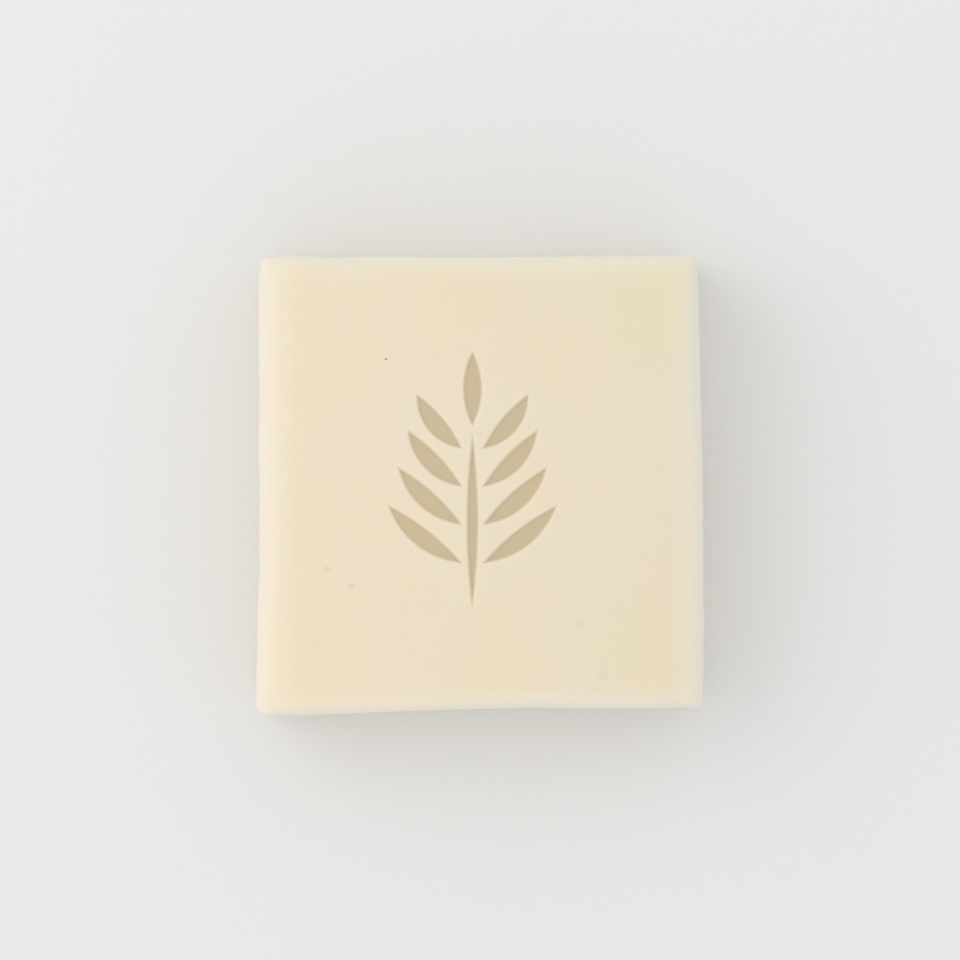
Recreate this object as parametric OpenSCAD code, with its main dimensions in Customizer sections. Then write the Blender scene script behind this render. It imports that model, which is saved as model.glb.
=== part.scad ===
// Bar of soap, one solid piece: a square bar cut by hand, a little out of true, with softly worn
// edges and a leaf sprig pressed into its upper face. Millimetres, +Z up. The bar lies flat, and the
// origin is on its underside, in the middle of its box. The front is towards -Y.

/* [Outline] */
// Length of the front side, between its sharp corners
front_len = 75.3; // [60:0.1:90]
// Length of the back side, between its sharp corners
back_len = 73.8; // [60:0.1:90]
// How far the middle of the back side lies to the left of the middle of the front side
back_shift = 0.35; // [-2:0.05:2]
// Depth of the bar from front to back along its left side
left_depth = 77.4; // [60:0.1:90]
// Depth of the bar from front to back along its right side
right_depth = 76.0; // [60:0.1:90]
// Thickness of the bar
bar_h = 25.0; // [16:0.5:40]

/* [Hand-cut sides] */
// How far the front side bows inward at its middle, negative for outward
front_hollow = 0.5; // [-1.5:0.05:1.5]
// How far the right side bows inward at its middle, negative for outward
right_hollow = -0.25; // [-1.5:0.05:1.5]
// How far the back side bows inward at its middle, negative for outward
back_hollow = 0.25; // [-1.5:0.05:1.5]
// How far the left side bows inward at its middle, negative for outward
left_hollow = 0.35; // [-1.5:0.05:1.5]

/* [Upright corners] */
// Radius of the front left corner, seen from above
front_left_r = 1.6; // [0.8:0.1:6]
// Radius of the front right corner, seen from above
front_right_r = 1.8; // [0.8:0.1:6]
// Radius of the back right corner, seen from above
back_right_r = 1.4; // [0.8:0.1:6]
// Radius of the back left corner, seen from above
back_left_r = 2.4; // [0.8:0.1:6]

/* [Worn edges] */
// Width of the soft shoulder along the front edge of the upper face
front_shoulder = 2.2; // [1:0.1:6]
// Width of the soft shoulder along the right edge of the upper face
right_shoulder = 3.4; // [1:0.1:6]
// Width of the soft shoulder along the back edge of the upper face
back_shoulder = 3.0; // [1:0.1:6]
// Width of the soft shoulder along the left edge of the upper face
left_shoulder = 4.2; // [1:0.1:6]
// How far the shoulders drop below the upper face
shoulder_drop = 2.4; // [0.8:0.1:5]
// How much larger the corner radii are on the upper face than on the sides
face_corner_gain = 2.0; // [0:0.1:6]
// Radius of the edge round the underside
under_edge_r = 1.8; // [0.5:0.1:5]

/* [Pressed sprig] */
// Distance of the sprig's middle to the left of the bar's middle
sprig_left = 1.3; // [-6:0.1:6]
// Distance of the sprig's middle behind the bar's middle
sprig_back = 1.0; // [-6:0.1:6]
// Length of the sprig from the foot of its stem to the tip of its end leaf
sprig_len = 43.0; // [35:0.5:50]
// Depth of the impression
press_depth = 0.4; // [0.2:0.1:1.5]
// Lean of the impression's walls, which lets the stamp lift out
press_draft = 30; // [5:1:45]
// Width of the stem at its middle
stem_w = 2.0; // [0.8:0.1:2.5]
// Uncut soap left between the stem and each leaf's foot
leaf_gap = 0.7; // [0.6:0.1:1.5]
// Length of the end leaf
end_leaf_len = 12.5; // [8:0.5:16]
// Number of leaf pairs along the stem
leaf_pairs = 4; // [2:1:5]
// Height of the lowest leaves above the foot of the stem
first_leaf = 7.5; // [4:0.5:12]
// Distance along the stem from one leaf pair to the next
leaf_pitch = 6.4; // [5:0.1:8]
// Length of the lowest leaves
low_leaf_len = 15.8; // [10:0.1:18]
// How much shorter each leaf pair is than the pair below it
leaf_shortening = 1.3; // [0:0.1:2]
// Width of a leaf at its middle
leaf_w = 3.2; // [2.4:0.1:4.5]
// How far the middle of a paired leaf bows down from the line between its foot and its tip
leaf_bow = 0.8; // [0:0.1:1]
// Lean of the lowest leaves away from the stem
leaf_lean = 52; // [30:1:65]
// How much more upright each leaf pair is than the pair below it
leaf_rise = 4; // [0:0.5:6]

/* [Hidden] */

soap_colour = "#ebdfc6";

// How far the stamp's tools reach above the face, so that they cut through it cleanly
press_over = 0.05;

// Smoothness of the loft: steps round a corner, along a side, over a shoulder, round the lower edge
corner_steps = 7;
side_steps = 20;
shoulder_steps = 10;
under_steps = 6;

// The sharp corners, anticlockwise from the front left; side n runs from corner n to corner n + 1,
// so the sides are the front, the right, the back and the left
corners = [
    [-front_len / 2, -left_depth],
    [front_len / 2, -right_depth],
    [back_len / 2 - back_shift, 0],
    [-back_len / 2 - back_shift, 0]
];
corner_radii = [front_left_r, front_right_r, back_right_r, back_left_r];
hollows = [front_hollow, right_hollow, back_hollow, left_hollow];
shoulders = [front_shoulder, right_shoulder, back_shoulder, left_shoulder];

function unit(v) = v / norm(v);
function turned_left(v) = [-v.y, v.x];
function before(n) = (n + 3) % 4;
function after(n) = (n + 1) % 4;
function along(n) = unit(corners[after(n)] - corners[n]);
function inward(n) = turned_left(along(n));

// The sharp corner n once the side before it and the side after it have moved in by their insets
function inset_corner(n, insets) = let (
        a = inward(before(n)),
        b = inward(n),
        s = insets[before(n)],
        t = insets[n]
    )
    corners[n] + [s * b.y - t * a.y, t * a.x - s * b.x] / cross(a, b);

// The centre of the arc that rounds corner n
function arc_centre(n, insets, r) = let (
        a = inward(before(n)),
        b = inward(n)
    )
    inset_corner(n, insets) + r * (a + b) / (1 + a * b);

// Points round corner n, from the side before it to the side after it
function corner_arc(n, insets, r) = let (
        a = inward(before(n)),
        b = inward(n),
        start = atan2(a.y, a.x),
        turn = acos(a * b)
    )
    [for (i = [0 : corner_steps])
        let (angle = start + turn * i / corner_steps)
        arc_centre(n, insets, r) - r * [cos(angle), sin(angle)]];

// Points along side n between two arcs' ends, hollowed in a smooth wave that dies out at both ends
function side_points(n, from, to) =
    [for (i = [1 : side_steps - 1])
        let (s = i / side_steps)
        from + (to - from) * s + inward(n) * hollows[n] * pow(sin(180 * s), 2)];

// The outline at one level, anticlockwise, with each side moved in by its inset and every corner
// rounder than on the bar's sides by gain
function outline(insets, gain) = let (
        arcs = [for (n = [0 : 3]) corner_arc(n, insets, corner_radii[n] + gain)]
    )
    [for (n = [0 : 3])
        each concat(arcs[n], side_points(n, arcs[n][corner_steps], arcs[after(n)][0]))];

// The widest outline, on the bar's sides, and the middle of its box
side_outline = outline([0, 0, 0, 0], 0);
xs = [for (p = side_outline) p.x];
ys = [for (p = side_outline) p.y];
box_middle = [min(xs) + max(xs), min(ys) + max(ys)] / 2;

function ring(insets, gain, z) = [for (p = outline(insets, gain)) [p.x - box_middle.x, p.y - box_middle.y, z]];

// A quarter round from the underside up to the sides
under_rings =
    [for (i = [0 : under_steps])
        let (
            angle = 90 * i / under_steps,
            inset = under_edge_r * (1 - sin(angle))
        )
        ring([inset, inset, inset, inset], inset, under_edge_r * (1 - cos(angle)))];

// A quarter ellipse from the sides up to the upper face, on each side as wide as its shoulder
shoulder_rings =
    [for (i = [0 : shoulder_steps])
        let (
            angle = 90 * i / shoulder_steps,
            share = 1 - cos(angle)
        )
        ring(shoulders * share, face_corner_gain * share, bar_h - shoulder_drop * (1 - sin(angle)))];

// The bar before it is stamped: rings of points joined by triangles, closed below and above by fans
module plain_bar() {
    rings = concat(under_rings, shoulder_rings);
    count = len(rings[0]);
    last = len(rings) - 1;
    low_middle = count * len(rings);
    high_middle = low_middle + 1;

    skin = [for (level = [0 : last - 1], i = [0 : count - 1])
        let (
            next = (i + 1) % count,
            a = level * count + i,
            b = a + count,
            c = (level + 1) * count + next,
            d = level * count + next
        )
        each [[a, b, c], [a, c, d]]];
    underside = [for (i = [0 : count - 1]) [low_middle, i, (i + 1) % count]];
    face = [for (i = [0 : count - 1]) [high_middle, last * count + (i + 1) % count, last * count + i]];

    polyhedron(
        points = concat([for (r = rings) each r], [[0, 0, 0], [0, 0, bar_h]]),
        faces = concat(skin, underside, face)
    );
}

// The cone whose edge, at the level of the face, passes through both tips of a leaf of this length
// and bulges half_w to the right of the line between them
module flank(length, half_w) {
    r = (length * length / 4 + half_w * half_w) / (2 * half_w);
    translate([half_w - r, length / 2, -press_depth])
        cylinder(
            r1 = r - press_depth * tan(press_draft),
            r2 = r + press_over * tan(press_draft),
            h = press_depth + press_over,
            $fn = 256
        );
}

// A leaf-shaped tool, from its foot at the origin to its tip on the +Y axis: two flanks overlap. Its
// middle bows to the right of the axis, or to the left for a negative bow
module leaf(length, w, bow = 0) {
    intersection() {
        flank(length, w / 2 + bow);
        mirror([1, 0, 0]) flank(length, w / 2 - bow);
    }
}

// The stamp, centred on the origin, with its stem along Y: stem, leaf pairs and end leaf
module sprig() {
    foot = -sprig_len / 2;
    tip = sprig_len / 2;
    translate([0, foot, 0]) leaf(sprig_len - end_leaf_len - 2 * leaf_gap, stem_w);
    translate([0, tip - end_leaf_len, 0]) leaf(end_leaf_len, leaf_w);
    for (i = [0 : leaf_pairs - 1], side = [-1, 1])
        translate([side * (stem_w / 2 + leaf_gap), foot + first_leaf + i * leaf_pitch, 0])
            rotate([0, 0, -side * (leaf_lean - i * leaf_rise)])
                leaf(low_leaf_len - i * leaf_shortening, leaf_w, side * leaf_bow);
}

module soap_bar() {
    color(soap_colour)
        difference() {
            plain_bar();
            translate([-sprig_left, sprig_back, bar_h]) sprig();
        }
}

soap_bar();
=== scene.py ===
"""A square, hand-cut bar of cream soap with a leaf sprig pressed into its face, on a pale floor.

The bar is remade here as a fine mesh round the frame's own box: a loft from the underside up to the
shoulders, closed by a face whose triangles follow the sprig. The frame gives the bar's size and
place. Lengths are in millimetres, and MM turns them into Blender's metres.
"""

import math
from collections import namedtuple

import bpy
import numpy as np
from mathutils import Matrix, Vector, geometry, kdtree, noise


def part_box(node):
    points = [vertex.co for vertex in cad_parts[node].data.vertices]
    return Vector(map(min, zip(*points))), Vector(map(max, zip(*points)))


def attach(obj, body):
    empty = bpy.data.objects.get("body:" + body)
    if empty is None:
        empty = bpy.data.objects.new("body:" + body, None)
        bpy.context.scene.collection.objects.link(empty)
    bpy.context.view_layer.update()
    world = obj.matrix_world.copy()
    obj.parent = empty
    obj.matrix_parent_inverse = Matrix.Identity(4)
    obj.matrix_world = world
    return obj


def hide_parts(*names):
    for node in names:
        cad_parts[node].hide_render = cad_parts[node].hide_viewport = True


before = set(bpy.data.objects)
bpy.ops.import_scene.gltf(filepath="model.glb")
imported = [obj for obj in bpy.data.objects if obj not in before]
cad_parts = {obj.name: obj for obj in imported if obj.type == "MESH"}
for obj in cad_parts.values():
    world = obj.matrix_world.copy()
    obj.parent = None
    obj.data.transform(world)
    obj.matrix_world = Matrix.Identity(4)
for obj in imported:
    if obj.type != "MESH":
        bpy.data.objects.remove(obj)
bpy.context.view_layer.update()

MM = 0.001

# The bar's outline. The front is towards -Y, and each list of four goes round from there: the front,
# right, back and left sides, or the front left, front right, back right and back left corners
BAR_LOW, BAR_HIGH = [np.array(corner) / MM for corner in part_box("soap_bar")]
BAR_H = BAR_HIGH[2]
FRONT_LEN = 75.3
BACK_LEN = 73.8
BACK_SHIFT = 0.35
LEFT_DEPTH = 77.4
RIGHT_DEPTH = 76.0
SIDE_HOLLOWS = [0.5, -0.25, 0.25, 0.35]
CORNER_RADII = [1.8, 1.1, 1.3, 1.3]

# The worn, rounded edges, and the painted sheen on them
SHOULDER_WIDTHS = np.array([2.2, 3.4, 3.0, 4.2])
SHOULDER_DROP = 2.4
FACE_CORNER_GAIN = 2.0
UNDER_EDGE_R = 1.8
# How far the painted sheen, a paler colour, reaches onto the face, in widths of the shoulder, and down
# the sides
SHEEN_REACH = 1.4
SHEEN_DOWN = 2.2
# How strong the painted sheen is on the edge round the underside, where the upper edges count as 1
UNDER_SHEEN = 0.6

# Small swells and dents of the cut sides: each a place, how far it reaches, and its shift there
SHIFTS = [
    ((-37.7, -38.7), 9.0, (-0.10, 0.01)),
    ((37.7, -37.3), 4.2, (-0.31, 0.08)),
    ((36.9, 38.7), 4.9, (-0.19, 0.12)),
    ((-37.0, 38.7), 2.8, (0.32, -0.27)),
    ((-37.2, -14.2), 2.6, (0.20, 0.0)),
    ((-37.2, 6.9), 4.5, (-0.16, 0.0)),
    ((-37.3, 23.9), 3.0, (-0.09, 0.0)),
    ((-24.0, 38.6), 4.5, (0.0, -0.23)),
    ((37.7, -22.7), 1.6, (0.14, 0.0)),
    ((8.0, -38.0), 6.0, (0.0, 0.07)),
    ((24.0, -37.6), 6.0, (0.0, -0.07)),
]
# A slow waver of every surface, and a finer one: the size of the noise, and its push in X, Y and Z
WAVER_SIZE = 26
WAVER = np.array([0.04, 0.04, 0.16])
FINE_WAVER_SIZE = 7
FINE_WAVER = np.array([0.02, 0.02, 0.03])
# Where the finer noise is read, so that it doesn't follow the slow one
FINE_WAVER_PLACE = Vector((9, 4, 2))
# Height in which both wavers grow from nothing, so that the underside stays flat
WAVER_RISE = 4
# Faint lines that the wire dragged down the sides: their spacing, length and depth
DRAG_SPACING = 2.3
DRAG_LENGTH = 45
DRAG_DEPTH = 0.12
# Seed of all this noise: without one the mesh would differ from run to run
NOISE_SEED = 2

# The pressed sprig
SPRIG_MIDDLE = np.array([-1.3, 1.0])
SPRIG_LEN = 43.0
PRESS_DEPTH = 0.4
STEM_W = 2.0
LEAF_GAP = 0.7
END_LEAF_LEN = 12.5
LEAF_PAIRS = 4
FIRST_LEAF = 7.5
LEAF_PITCH = 6.4
LOW_LEAF_LEN = 15.8
LEAF_SHORTENING = 1.3
LEAF_W = 3.2
LEAF_BOW = 0.8
LEAF_LEAN = math.radians(52)
LEAF_RISE = math.radians(4)
# Where the impression's rounded wall starts outside a stroke's edge and ends inside it
WALL_OUT = 0.27
WALL_IN = 0.5

# Fineness of the mesh
CORNER_STEPS = 12
SIDE_STEPS = 150
SHOULDER_STEPS = 16
WALL_STEPS = 22
UNDER_STEPS = 8
FACE_SPACING = 1.1
UNDERSIDE_SPACING = 2.5
# Loops of points that follow each stroke, as distances outside its edge, and their points' spacing
STROKE_LOOPS = np.linspace(0.5, -0.7, 14)
LOOP_SPACING = 0.28
LEAST_LOOP_STEPS = 8
TIP_STEPS = 5
# Room that the loose points leave beside the face's edge, the strokes' loops and the underside's edge
FACE_EDGE_ROOM = 0.6 * FACE_SPACING
LOOP_ROOM = 0.5 * FACE_SPACING
UNDERSIDE_EDGE_ROOM = 0.5 * UNDERSIDE_SPACING

# Colours, linear. Where there are two, one is at the bar's left side and the other at its right: each
# pair paints shade, lighter on the lit left and darker on the right
PALER_CREAM = [(0.834, 0.733, 0.550, 1), (0.790, 0.716, 0.558, 1)]
YELLOWER_CREAM = [(0.850, 0.725, 0.530, 1), (0.806, 0.708, 0.540, 1)]
# Painted sheen: the paler, whiter colour of the rounded edges
SHEEN_CREAM = [(0.850, 0.790, 0.695, 1), (0.80, 0.788, 0.695, 1)]
SHEEN_BACK = (0.785, 0.772, 0.658, 1)
# Painted highlight along the lit left edge of the face
LEFT_HIGHLIGHT = (0.888, 0.779, 0.540, 1)
PALE_PATCH = (0.835, 0.728, 0.585, 1)
YELLOW_PATCH = (0.805, 0.712, 0.465, 1)
DARK_SPECK = (0.20, 0.13, 0.08, 1)
HERB_SPECK = (0.55, 0.52, 0.36, 1)
# Two tans of the impression, which mix as the mottling does
PRESSED_TANS = [(0.60, 0.505, 0.328, 1), (0.628, 0.498, 0.312, 1)]
FLOOR_PAINT = (0.80, 0.80, 0.80, 1)
WHITE = (1, 1, 1, 1)

# How strongly the painted sheen's pale colour shows where the sheen is full
SHEEN_STRENGTH = 0.8
# Where the painted highlight, a lighter strip along the lit left edge, starts and is full, in X, and how
# strongly it shows
STRIP_X = (-29.5, -32.5)
STRIP_STRENGTH = 0.5
# Where the painted sheen along the back edge starts and has its own greyer tint in full, in Y
BACK_Y = (30.0, 37.0)
# Soft patches of colour on the face: place, reach, how strongly each shows and its colour
PATCHES = [
    ((-12.0, 6.0), 28.0, 0.5, PALE_PATCH),
    ((-16.0, -33.0), 16.0, 0.4, PALE_PATCH),
    ((29.0, 30.5), 13.0, 0.6, YELLOW_PATCH),
    ((27.5, -27.0), 11.0, 0.4, YELLOW_PATCH),
]
# Specks in the soap on the face: place, radius, how strongly each shows and its colour
SPECKS = [
    ((-15.8, 21.2), 0.17, 0.9, DARK_SPECK),
    ((-25.6, -13.9), 0.42, 0.30, HERB_SPECK),
    ((-21.6, -16.8), 0.55, 0.30, HERB_SPECK),
    ((16.8, -23.1), 0.60, 0.20, HERB_SPECK),
    ((20.6, -31.7), 0.75, 0.14, HERB_SPECK),
    ((-28.0, -26.2), 0.50, 0.08, HERB_SPECK),
    ((-2.4, -28.1), 0.50, 0.07, HERB_SPECK),
]

# The studio: strength of the light from all round, and of the backdrop that the camera sees
SKY_LIGHT = 0.92
BACKDROP_LIGHT = 0.85
# Half the floor's width
FLOOR_HALF = 4000
SOFTBOX_PLACE = (-700, 300, 700)
SOFTBOX_SIZE = 900
SOFTBOX_WATTS = 2.0

# The photograph's framing: scale at the bar's widest outline, and the pixel of the bar's middle
PX_PER_MM = 5.95
FRAME_PX = 960
BAR_MIDDLE_PX = (480.4, 485.7)
CAMERA_DISTANCE = 800
CAMERA_SENSOR = 36


def unit(v):
    return v / np.linalg.norm(v)


def directions(angles):
    """The unit vectors at these angles from the X axis."""
    return np.column_stack([np.cos(angles), np.sin(angles)])


# Outline

CORNERS = np.array([
    [-FRONT_LEN / 2, -LEFT_DEPTH],
    [FRONT_LEN / 2, -RIGHT_DEPTH],
    [BACK_LEN / 2 - BACK_SHIFT, 0.0],
    [-BACK_LEN / 2 - BACK_SHIFT, 0.0],
])
ALONG = [unit(CORNERS[(n + 1) % 4] - CORNERS[n]) for n in range(4)]
INWARD = [np.array([-v[1], v[0]]) for v in ALONG]


def corner_arc(n, insets, radius):
    """Points round corner n once the sides have moved in by their insets."""
    a, b = INWARD[n - 1], INWARD[n]
    s, t = insets[n - 1], insets[n]
    turn = math.acos(a @ b)
    corner = CORNERS[n] + np.array([s * b[1] - t * a[1], t * a[0] - s * b[0]]) / math.sin(turn)
    centre = corner + radius * (a + b) / (1 + a @ b)
    angles = math.atan2(a[1], a[0]) + turn * np.linspace(0, 1, CORNER_STEPS + 1)
    return centre - radius * directions(angles)


def outline(insets, gain):
    """The closed outline at one level, anticlockwise, with every corner rounder by gain."""
    arcs = [corner_arc(n, insets, CORNER_RADII[n] + gain) for n in range(4)]
    points = []
    for n in range(4):
        start, end = arcs[n][-1], arcs[(n + 1) % 4][0]
        share = np.linspace(0, 1, SIDE_STEPS + 1)[1:-1, None]
        wave = INWARD[n] * SIDE_HOLLOWS[n] * np.sin(math.pi * share) ** 2
        points += [arcs[n], start + (end - start) * share + wave]
    return np.vstack(points)


SIDE_OUTLINE = outline([0, 0, 0, 0], 0)
OUTLINE_MIDDLE = (SIDE_OUTLINE.min(axis=0) + SIDE_OUTLINE.max(axis=0)) / 2
BAR_MIDDLE = (BAR_LOW[:2] + BAR_HIGH[:2]) / 2


def placed_outline(insets, gain, z):
    """The outline at height z, round the frame's bar."""
    points = outline(insets, gain) - OUTLINE_MIDDLE + BAR_MIDDLE
    return np.column_stack([points, np.full(len(points), z)])


# A closed ring of points, how much painted sheen it has and how much of the wire's cut shows on it
Ring = namedtuple("Ring", "points wear cut")


def bar_rings():
    """Rings from the underside's edge up to the face's edge."""
    rings = []
    for angle in np.linspace(0, math.pi / 2, UNDER_STEPS + 1):
        inset = UNDER_EDGE_R * (1 - math.sin(angle))
        points = placed_outline([inset] * 4, inset, UNDER_EDGE_R * (1 - math.cos(angle)))
        rings.append(Ring(points, UNDER_SHEEN * math.sin(angle), math.sin(angle)))
    top_of_wall = BAR_H - SHOULDER_DROP
    for z in np.linspace(UNDER_EDGE_R, top_of_wall, WALL_STEPS + 1)[1:-1]:
        # Painted sheen: strongest at the shoulder's foot and the underside's edge, fading along the wall
        sheen_above = math.exp(-((top_of_wall - z) / SHEEN_DOWN) ** 2)
        sheen_below = UNDER_SHEEN * math.exp(-((z - UNDER_EDGE_R) / SHEEN_DOWN) ** 2)
        rings.append(Ring(placed_outline([0] * 4, 0, z), sheen_above + sheen_below, 1 - sheen_above))
    for angle in np.linspace(0, math.pi / 2, SHOULDER_STEPS + 1):
        share = 1 - math.cos(angle)
        z = top_of_wall + SHOULDER_DROP * math.sin(angle)
        points = placed_outline(SHOULDER_WIDTHS * share, FACE_CORNER_GAIN * share, z)
        rings.append(Ring(points, 1 - share / SHEEN_REACH, 0.0))
    return rings


# Sprig


class Stroke:
    """A leaf-shaped stroke of the sprig, from its foot to its tip: the overlap of two discs.

    Its middle bows to the right of the line from foot to tip, or to the left for a negative bow.
    """

    def __init__(self, foot, lean, length, width, bow=0.0):
        self.half_len = length / 2
        self.forward = np.array([math.sin(lean), math.cos(lean)])
        self.right = np.array([math.cos(lean), -math.sin(lean)])
        self.middle = np.array(foot) + self.forward * self.half_len
        # The right flank and the left flank: which side, its disc's radius and how far back that
        # disc's centre lies beyond the line from foot to tip
        self.flanks = []
        for side, bulge in ((1, width / 2 + bow), (-1, width / 2 - bow)):
            radius = (self.half_len ** 2 + bulge ** 2) / (2 * bulge)
            self.flanks.append((side, radius, radius - bulge))

    def distance(self, points):
        """Distance of each point outside the stroke's edge, negative inside."""
        across = (points - self.middle) @ self.right
        up = np.abs((points - self.middle) @ self.forward)
        to_flank = np.full(len(points), -np.inf)
        past_tip = np.full(len(points), True)
        for side, radius, back in self.flanks:
            from_centre = side * across + back
            to_flank = np.maximum(to_flank, np.hypot(from_centre, up) - radius)
            past_tip &= up * back > from_centre * self.half_len
        return np.where(past_tip, np.hypot(across, up - self.half_len), to_flank)

    def loop(self, offset):
        """A closed loop of points at this distance outside the stroke's edge."""
        (_, right_r, right_back), (_, left_r, left_back) = self.flanks
        right_r += offset
        left_r += offset
        tip = np.array([0.0, self.half_len])
        if offset < 0:
            # The discs of this loop meet nearer the middle
            skew = right_r ** 2 - left_r ** 2 - right_back ** 2 + left_back ** 2
            tip[0] = skew / (2 * (right_back + left_back))
            tip[1] = math.sqrt(right_r ** 2 - (tip[0] + right_back) ** 2)
        right_end = math.atan2(tip[1], tip[0] + right_back)
        left_end = math.atan2(tip[1], left_back - tip[0])
        count = max(LEAST_LOOP_STEPS, round(2 * right_end * right_r / LOOP_SPACING))
        share = np.linspace(-1, 1, count + 1)
        right = right_r * directions(right_end * share) - [right_back, 0]
        left = -left_r * directions(left_end * share) + [left_back, 0]
        if offset > 0:
            angles = np.linspace(right_end, math.pi - left_end, TIP_STEPS + 1)[1:-1]
            cap = offset * directions(angles) + tip
            local = np.vstack([right, cap, left, cap[::-1] * [1, -1]])
        else:
            local = np.vstack([right[:-1], left[:-1]])
        return self.middle + local[:, :1] * self.right + local[:, 1:] * self.forward


def sprig_strokes():
    """The stem, the end leaf and the leaf pairs from the lowest up."""
    foot = SPRIG_MIDDLE + [0, -SPRIG_LEN / 2]
    tip = SPRIG_MIDDLE + [0, SPRIG_LEN / 2]
    strokes = [
        Stroke(foot, 0, SPRIG_LEN - END_LEAF_LEN - 2 * LEAF_GAP, STEM_W),
        Stroke(tip - [0, END_LEAF_LEN], 0, END_LEAF_LEN, LEAF_W),
    ]
    for pair in range(LEAF_PAIRS):
        length = LOW_LEAF_LEN - pair * LEAF_SHORTENING
        lean = LEAF_LEAN - pair * LEAF_RISE
        for side in (-1, 1):
            leaf_foot = foot + [side * (STEM_W / 2 + LEAF_GAP), FIRST_LEAF + pair * LEAF_PITCH]
            strokes.append(Stroke(leaf_foot, side * lean, length, LEAF_W, side * LEAF_BOW))
    return strokes


STROKES = sprig_strokes()


def sprig_distance(points):
    """Distance of each point to the nearest stroke's edge, negative inside a stroke."""
    return np.min([stroke.distance(points) for stroke in STROKES], axis=0)


def smooth_step(low, high, x):
    t = np.clip((x - low) / (high - low), 0, 1)
    return t * t * (3 - 2 * t)


def pressed(points):
    """How deep each point lies in the impression, from 0 on the face to 1 on its floor."""
    return 1 - smooth_step(-WALL_IN, WALL_OUT, sprig_distance(points))


# Mesh


def grid_points(spacing):
    """Points in offset rows all over the bar's box."""
    points = []
    rows = np.arange(BAR_LOW[1], BAR_HIGH[1], spacing * math.sqrt(3) / 2)
    for row, y in enumerate(rows):
        for x in np.arange(BAR_LOW[0] + row % 2 * spacing / 2, BAR_HIGH[0], spacing):
            points.append((x, y))
    return np.array(points)


def clear_of(points, edge, gap):
    """The points that lie further than gap from every point of edge."""
    gaps = np.linalg.norm(points[:, None, :] - edge[None, :, :], axis=2).min(axis=1)
    return points[gaps > gap]


def filled(edge, loops, inner):
    """Triangles that fill the closed edge, follow the loops and use the inner points.

    Returns the points inside the edge, and triangles of indices: those below len(edge) are the
    edge's own points, and the others the points inside.
    """
    points = [tuple(p) for p in edge]
    segments = [(i, (i + 1) % len(edge)) for i in range(len(edge))]
    for loop in loops:
        first = len(points)
        points += [tuple(p) for p in loop]
        segments += [(first + i, first + (i + 1) % len(loop)) for i in range(len(loop))]
    points += [tuple(p) for p in inner]
    inside_only = 1
    merge_within = 1e-6
    found, _, faces, origins, _, _ = geometry.delaunay_2d_cdt(
        [Vector(p) for p in points], segments, [], inside_only, merge_within
    )
    place = {}
    inside = []
    for index in sorted({i for face in faces for i in face}):
        on_edge = [o for o in origins[index] if o < len(edge)]
        if on_edge:
            place[index] = on_edge[0]
        else:
            place[index] = len(edge) + len(inside)
            inside.append(found[index][:2])
    triangles = [[place[i] for i in face] for face in faces]
    return np.array(inside), triangles


def hand_cut(points, cut):
    """Moves every point a little: the sides' swells and dents, the wire's drag lines down them and
    a waver all over, with the underside left flat. Cut is how much of the wire's cut shows."""
    moved = points.copy()
    noise.seed_set(NOISE_SEED)
    for place, reach, shift in SHIFTS:
        away = np.linalg.norm(points[:, :2] - place, axis=1)
        moved[:, :2] += np.exp(-(away / reach) ** 2)[:, None] * shift
    for i, (x, y, z) in enumerate(points):
        lift = min(1.0, z / WAVER_RISE) ** 2
        broad = noise.noise_vector(Vector((x, y, z)) / WAVER_SIZE)
        fine = noise.noise_vector(Vector((x, y, z)) / FINE_WAVER_SIZE + FINE_WAVER_PLACE)
        moved[i] += lift * (WAVER * np.array(broad) + FINE_WAVER * np.array(fine))
        if cut[i] > 0:
            drag = noise.noise_vector(Vector((x / DRAG_SPACING, y / DRAG_SPACING, z / DRAG_LENGTH)))
            moved[i, :2] += cut[i] * DRAG_DEPTH * np.array(drag)[:2]
    return moved


class Skin:
    """The bar's points, each with its painted sheen, press and cut, and the faces between them.

    The painted sheen is how much paler edge colour is painted there, press how deep the point lies in the
    impression, and cut how much of the wire's cut shows. All go from 0 to 1.
    """

    def __init__(self):
        self.points = []
        self.values = {"wear": [], "press": [], "cut": []}
        self.faces = []

    def add_points(self, points, wear=0.0, press=0.0, cut=0.0):
        """Adds points. Each value is one number for them all, or one for each."""
        self.points += list(points)
        for name, value in (("wear", wear), ("press", press), ("cut", cut)):
            self.values[name] += list(np.broadcast_to(value, len(points)))

    def fill(self, edge_start, edge_count, triangles, inside, **values):
        """Adds what fills an edge: its triangles, and the points inside it with their values."""
        shift = len(self.points) - edge_count
        for triangle in triangles:
            self.faces.append([i + (edge_start if i < edge_count else shift) for i in triangle])
        self.add_points(inside, **values)

    def mesh(self, name):
        made = bpy.data.meshes.new(name)
        cut_points = hand_cut(np.array(self.points), self.values["cut"])
        made.from_pydata([tuple(p * MM) for p in cut_points], [], self.faces)
        for key, values in self.values.items():
            layer = made.attributes.new(key, "FLOAT", "POINT")
            layer.data.foreach_set("value", values)
        made.polygons.foreach_set("use_smooth", [True] * len(made.polygons))
        made.update()
        return made


def add_rings(skin, rings):
    count = len(rings[0].points)
    for ring in rings:
        skin.add_points(ring.points, wear=ring.wear, cut=ring.cut)
    for level in range(len(rings) - 1):
        a = level * count
        b = a + count
        for i in range(count):
            j = (i + 1) % count
            skin.faces.append([a + i, a + j, b + j, b + i])


def add_underside(skin, rings):
    edge = rings[0].points[:, :2]
    inner = clear_of(grid_points(UNDERSIDE_SPACING), edge, UNDERSIDE_EDGE_ROOM)
    inside, triangles = filled(edge, [], inner)
    facing_down = [triangle[::-1] for triangle in triangles]
    skin.fill(0, len(edge), facing_down, [(x, y, 0.0) for x, y in inside])


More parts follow.
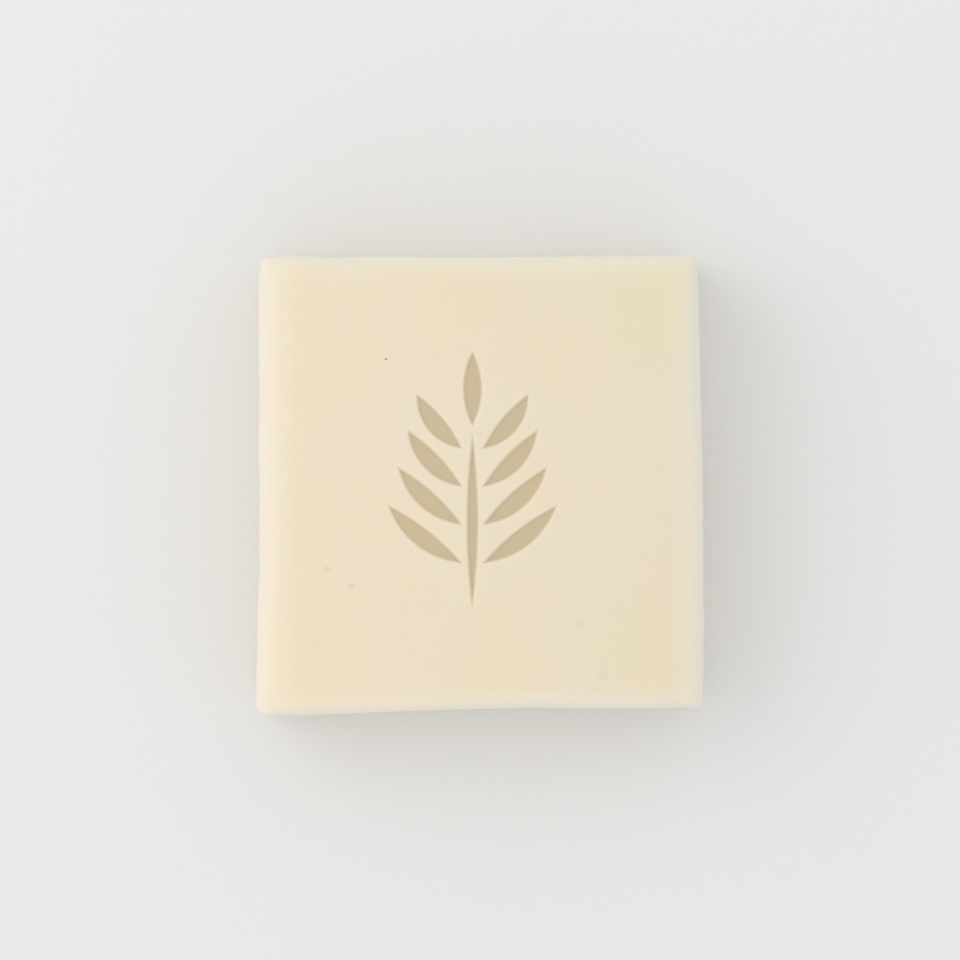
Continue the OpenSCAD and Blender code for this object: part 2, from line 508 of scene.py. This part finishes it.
def face_sheen(points, edge, shoulder_widths):
    """How much painted sheen each point of the face gets, from its distance inside the face's edge."""
    tree = kdtree.KDTree(len(edge))
    for i, (x, y) in enumerate(edge):
        tree.insert((x, y, 0), i)
    tree.balance()
    values = []
    for x, y in points:
        _, i, away = tree.find((x, y, 0))
        width = shoulder_widths[i]
        values.append(max(0.0, 1 - (width + away) / (width * SHEEN_REACH)))
    return values


def add_face(skin, rings):
    edge = rings[-1].points[:, :2]
    loops = [stroke.loop(offset) for stroke in STROKES for offset in STROKE_LOOPS]
    inner = clear_of(grid_points(FACE_SPACING), edge, FACE_EDGE_ROOM)
    inner = inner[sprig_distance(inner) > STROKE_LOOPS[0] + LOOP_ROOM]
    inside, triangles = filled(edge, loops, inner)
    shoulder_start = rings[-1 - SHOULDER_STEPS].points[:, :2]
    shoulder_widths = np.linalg.norm(shoulder_start - edge, axis=1)
    # Painted sheen, fading inward from the face's edge
    wear = face_sheen(inside, edge, shoulder_widths)
    depth = pressed(inside)
    points = [(x, y, BAR_H - PRESS_DEPTH * d) for (x, y), d in zip(inside, depth)]
    edge_start = (len(rings) - 1) * len(edge)
    skin.fill(edge_start, len(edge), triangles, points, wear=wear, press=depth)


def soap_mesh():
    skin = Skin()
    rings = bar_rings()
    add_rings(skin, rings)
    add_underside(skin, rings)
    add_face(skin, rings)
    return skin.mesh("soap")


# Materials


class Nodes:
    """A short way to write the nodes of a material or a world."""

    def __init__(self, owner):
        owner.use_nodes = True
        self.tree = owner.node_tree
        self.tree.nodes.clear()

    def add(self, kind, inputs=None, **settings):
        """Adds a node. Each of its inputs is given a value or another node's output."""
        node = self.tree.nodes.new(kind)
        for key, value in settings.items():
            setattr(node, key, value)
        for key, value in (inputs or {}).items():
            if isinstance(value, bpy.types.NodeSocket):
                self.tree.links.new(value, node.inputs[key])
            else:
                node.inputs[key].default_value = value
        return node

    def mix(self, factor, a, b):
        """Colour a where the factor is 0, and b where it is 1."""
        # Inputs 6 and 7 and output 2 are the ones for colour
        return self.add("ShaderNodeMix", {0: factor, 6: a, 7: b}, data_type="RGBA").outputs[2]

    def ramp(self, value, start, end, at_start=0.0, at_end=1.0):
        """Goes from at_start to at_end while the value goes from start to end, and no further."""
        return self.add("ShaderNodeMapRange", {
            "Value": value,
            "From Min": start,
            "From Max": end,
            "To Min": at_start,
            "To Max": at_end,
        }).outputs["Result"]

    def near(self, place, centre, full, none, strength):
        """Strength up to the distance full from a point of the face, fading to 0 at the distance none."""
        point = (centre[0] * MM, centre[1] * MM, BAR_H * MM)
        away = self.add("ShaderNodeVectorMath", {0: place, 1: point}, operation="DISTANCE")
        return self.ramp(away.outputs["Value"], full * MM, none * MM, strength, 0.0)


def soap_colour(n, place, wear, press, cut):
    """Mottled cream with painted shade from left to right, a painted highlight and a painted sheen at the
    edges, specks, and tan in the impression.
    """
    axes = n.add("ShaderNodeSeparateXYZ", {"Vector": place}).outputs
    # Painted shade: across goes from 0 at the lit left to 1 at the right, where the colour pairs are
    # darker
    across = n.ramp(axes["X"], BAR_LOW[0] * MM, BAR_HIGH[0] * MM)

    # Cream with a faint mottling a centimetre or two across, painted shade from the lit left to the
    # darker right, and larger soft patches
    broad = n.add("ShaderNodeTexNoise", {"Vector": place, "Scale": 55.0, "Detail": 2.0})
    mottle = n.ramp(broad.outputs["Fac"], 0.35, 0.65)
    colour = n.mix(mottle, n.mix(across, *PALER_CREAM), n.mix(across, *YELLOWER_CREAM))
    for centre, reach, strength, patch_colour in PATCHES:
        colour = n.mix(n.near(place, centre, 0.0, reach, strength), colour, patch_colour)

    # Painted highlight: a lighter, yellower strip of the face just inside the lit left edge
    on_face = n.ramp(cut, 0.0, 1.0, STRIP_STRENGTH, 0.0)
    at_left = n.ramp(axes["X"], STRIP_X[0] * MM, STRIP_X[1] * MM, 0.0, on_face)
    colour = n.mix(at_left, colour, LEFT_HIGHLIGHT)

    # Painted sheen: paler, whiter colour on the rounded edges, lighter on the lit left and a little
    # greyer along the back
    at_back = n.ramp(axes["Y"], BACK_Y[0] * MM, BACK_Y[1] * MM)
    sheen_colour = n.mix(at_back, n.mix(across, *SHEEN_CREAM), SHEEN_BACK)
    colour = n.mix(n.ramp(wear, 0.0, 1.0, 0.0, SHEEN_STRENGTH), colour, sheen_colour)

    for centre, radius, strength, speck_colour in SPECKS:
        there = n.near(place, centre, 0.5 * radius, 1.5 * radius, strength)
        colour = n.mix(there, colour, speck_colour)

    return n.mix(n.ramp(press, 0.1, 0.9), colour, n.mix(mottle, *PRESSED_TANS))


def soap_material():
    material = bpy.data.materials.new("cream_soap")
    n = Nodes(material)
    place = n.add("ShaderNodeTexCoord").outputs["Object"]
    wear, press, cut = [
        n.add("ShaderNodeAttribute", attribute_name=name).outputs["Fac"]
        for name in ("wear", "press", "cut")
    ]

    # Fine grain all over, and fine drag lines where the wire's cut shows
    grain = n.add("ShaderNodeTexNoise", {"Vector": place, "Scale": 900.0, "Detail": 3.0}).outputs["Fac"]
    drawn_out = n.add("ShaderNodeVectorMath", {0: place, 1: (1.0, 1.0, 0.03)}, operation="MULTIPLY")
    lines = n.add("ShaderNodeTexNoise", {"Vector": drawn_out.outputs[0], "Scale": 1400.0, "Detail": 2.0})
    shown = n.add("ShaderNodeMath", {0: lines.outputs["Fac"], 1: cut}, operation="MULTIPLY")
    line_bump = n.add("ShaderNodeBump", {
        "Height": shown.outputs[0],
        "Strength": 0.8,
        "Distance": 0.25 * MM,
    })
    bump = n.add("ShaderNodeBump", {
        "Height": grain,
        "Strength": 0.06,
        "Distance": 0.2 * MM,
        "Normal": line_bump.outputs["Normal"],
    })

    shader = n.add("ShaderNodeBsdfPrincipled", {
        "Base Color": soap_colour(n, place, wear, press, cut),
        "Roughness": n.ramp(grain, 0.3, 0.7, 0.42, 0.52),
        "Normal": bump.outputs["Normal"],
        "IOR": 1.45,
        "Subsurface Weight": 0.3,
        "Subsurface Radius": (1.0, 0.7, 0.45),
        "Subsurface Scale": 3 * MM,
    })
    n.add("ShaderNodeOutputMaterial", {"Surface": shader.outputs["BSDF"]})
    return material


def floor_material():
    material = bpy.data.materials.new("pale_floor")
    n = Nodes(material)
    paint = n.add("ShaderNodeBsdfDiffuse", {"Color": FLOOR_PAINT})
    n.add("ShaderNodeOutputMaterial", {"Surface": paint.outputs["BSDF"]})
    return material


# Scene


def add_object(name, data):
    made = bpy.data.objects.new(name, data)
    bpy.context.scene.collection.objects.link(made)
    return made


def add_soap():
    soap = add_object("soap", soap_mesh())
    soap.data.materials.append(soap_material())
    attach(soap, "root")
    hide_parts("soap_bar")


def add_floor():
    half = FLOOR_HALF * MM
    corners = [(-half, -half, 0), (half, -half, 0), (half, half, 0), (-half, half, 0)]
    mesh = bpy.data.meshes.new("floor")
    mesh.from_pydata(corners, [], [(0, 1, 2, 3)])
    mesh.materials.append(floor_material())
    floor = add_object("floor", mesh)


def add_world():
    """White light from all round, and a backdrop that the camera sees, in reflections too."""
    world = bpy.data.worlds.new("studio")
    bpy.context.scene.world = world
    n = Nodes(world)
    path = n.add("ShaderNodeLightPath").outputs
    seen = path["Is Camera Ray"]
    for kind in ("Is Glossy Ray", "Is Transmission Ray"):
        seen = n.add("ShaderNodeMath", {0: seen, 1: path[kind]}, operation="MAXIMUM").outputs[0]
    sky = n.add("ShaderNodeBackground", {"Color": WHITE, "Strength": SKY_LIGHT})
    backdrop = n.add("ShaderNodeBackground", {"Color": WHITE, "Strength": BACKDROP_LIGHT})
    chosen = n.add("ShaderNodeMixShader", {0: seen, 1: sky.outputs[0], 2: backdrop.outputs[0]})
    n.add("ShaderNodeOutputWorld", {"Surface": chosen.outputs[0]})


def add_softbox():
    """A large soft lamp at the back left, aimed at the bar."""
    lamp = bpy.data.lights.new("softbox", "AREA")
    lamp.shape = "SQUARE"
    lamp.size = SOFTBOX_SIZE * MM
    lamp.energy = SOFTBOX_WATTS
    softbox = add_object("softbox", lamp)
    softbox.location = [distance * MM for distance in SOFTBOX_PLACE]
    softbox.rotation_mode = "QUATERNION"
    softbox.rotation_quaternion = (-softbox.location).to_track_quat("-Z", "Y")


def add_camera():
    """Straight above the bar, at the photograph's scale, with its middle on the photograph's pixel."""
    camera_data = bpy.data.cameras.new("camera")
    camera_data.sensor_width = CAMERA_SENSOR
    camera_data.lens = PX_PER_MM * CAMERA_DISTANCE * CAMERA_SENSOR / FRAME_PX
    camera = add_object("camera", camera_data)
    right_px = BAR_MIDDLE_PX[0] - FRAME_PX / 2
    down_px = BAR_MIDDLE_PX[1] - FRAME_PX / 2
    camera.location = (
        (BAR_MIDDLE[0] - right_px / PX_PER_MM) * MM,
        (BAR_MIDDLE[1] + down_px / PX_PER_MM) * MM,
        (BAR_H - SHOULDER_DROP + CAMERA_DISTANCE) * MM,
    )
    bpy.context.scene.camera = camera


add_soap()
add_floor()
add_world()
add_softbox()
add_camera()
bpy.context.scene.view_settings.view_transform = "Standard"
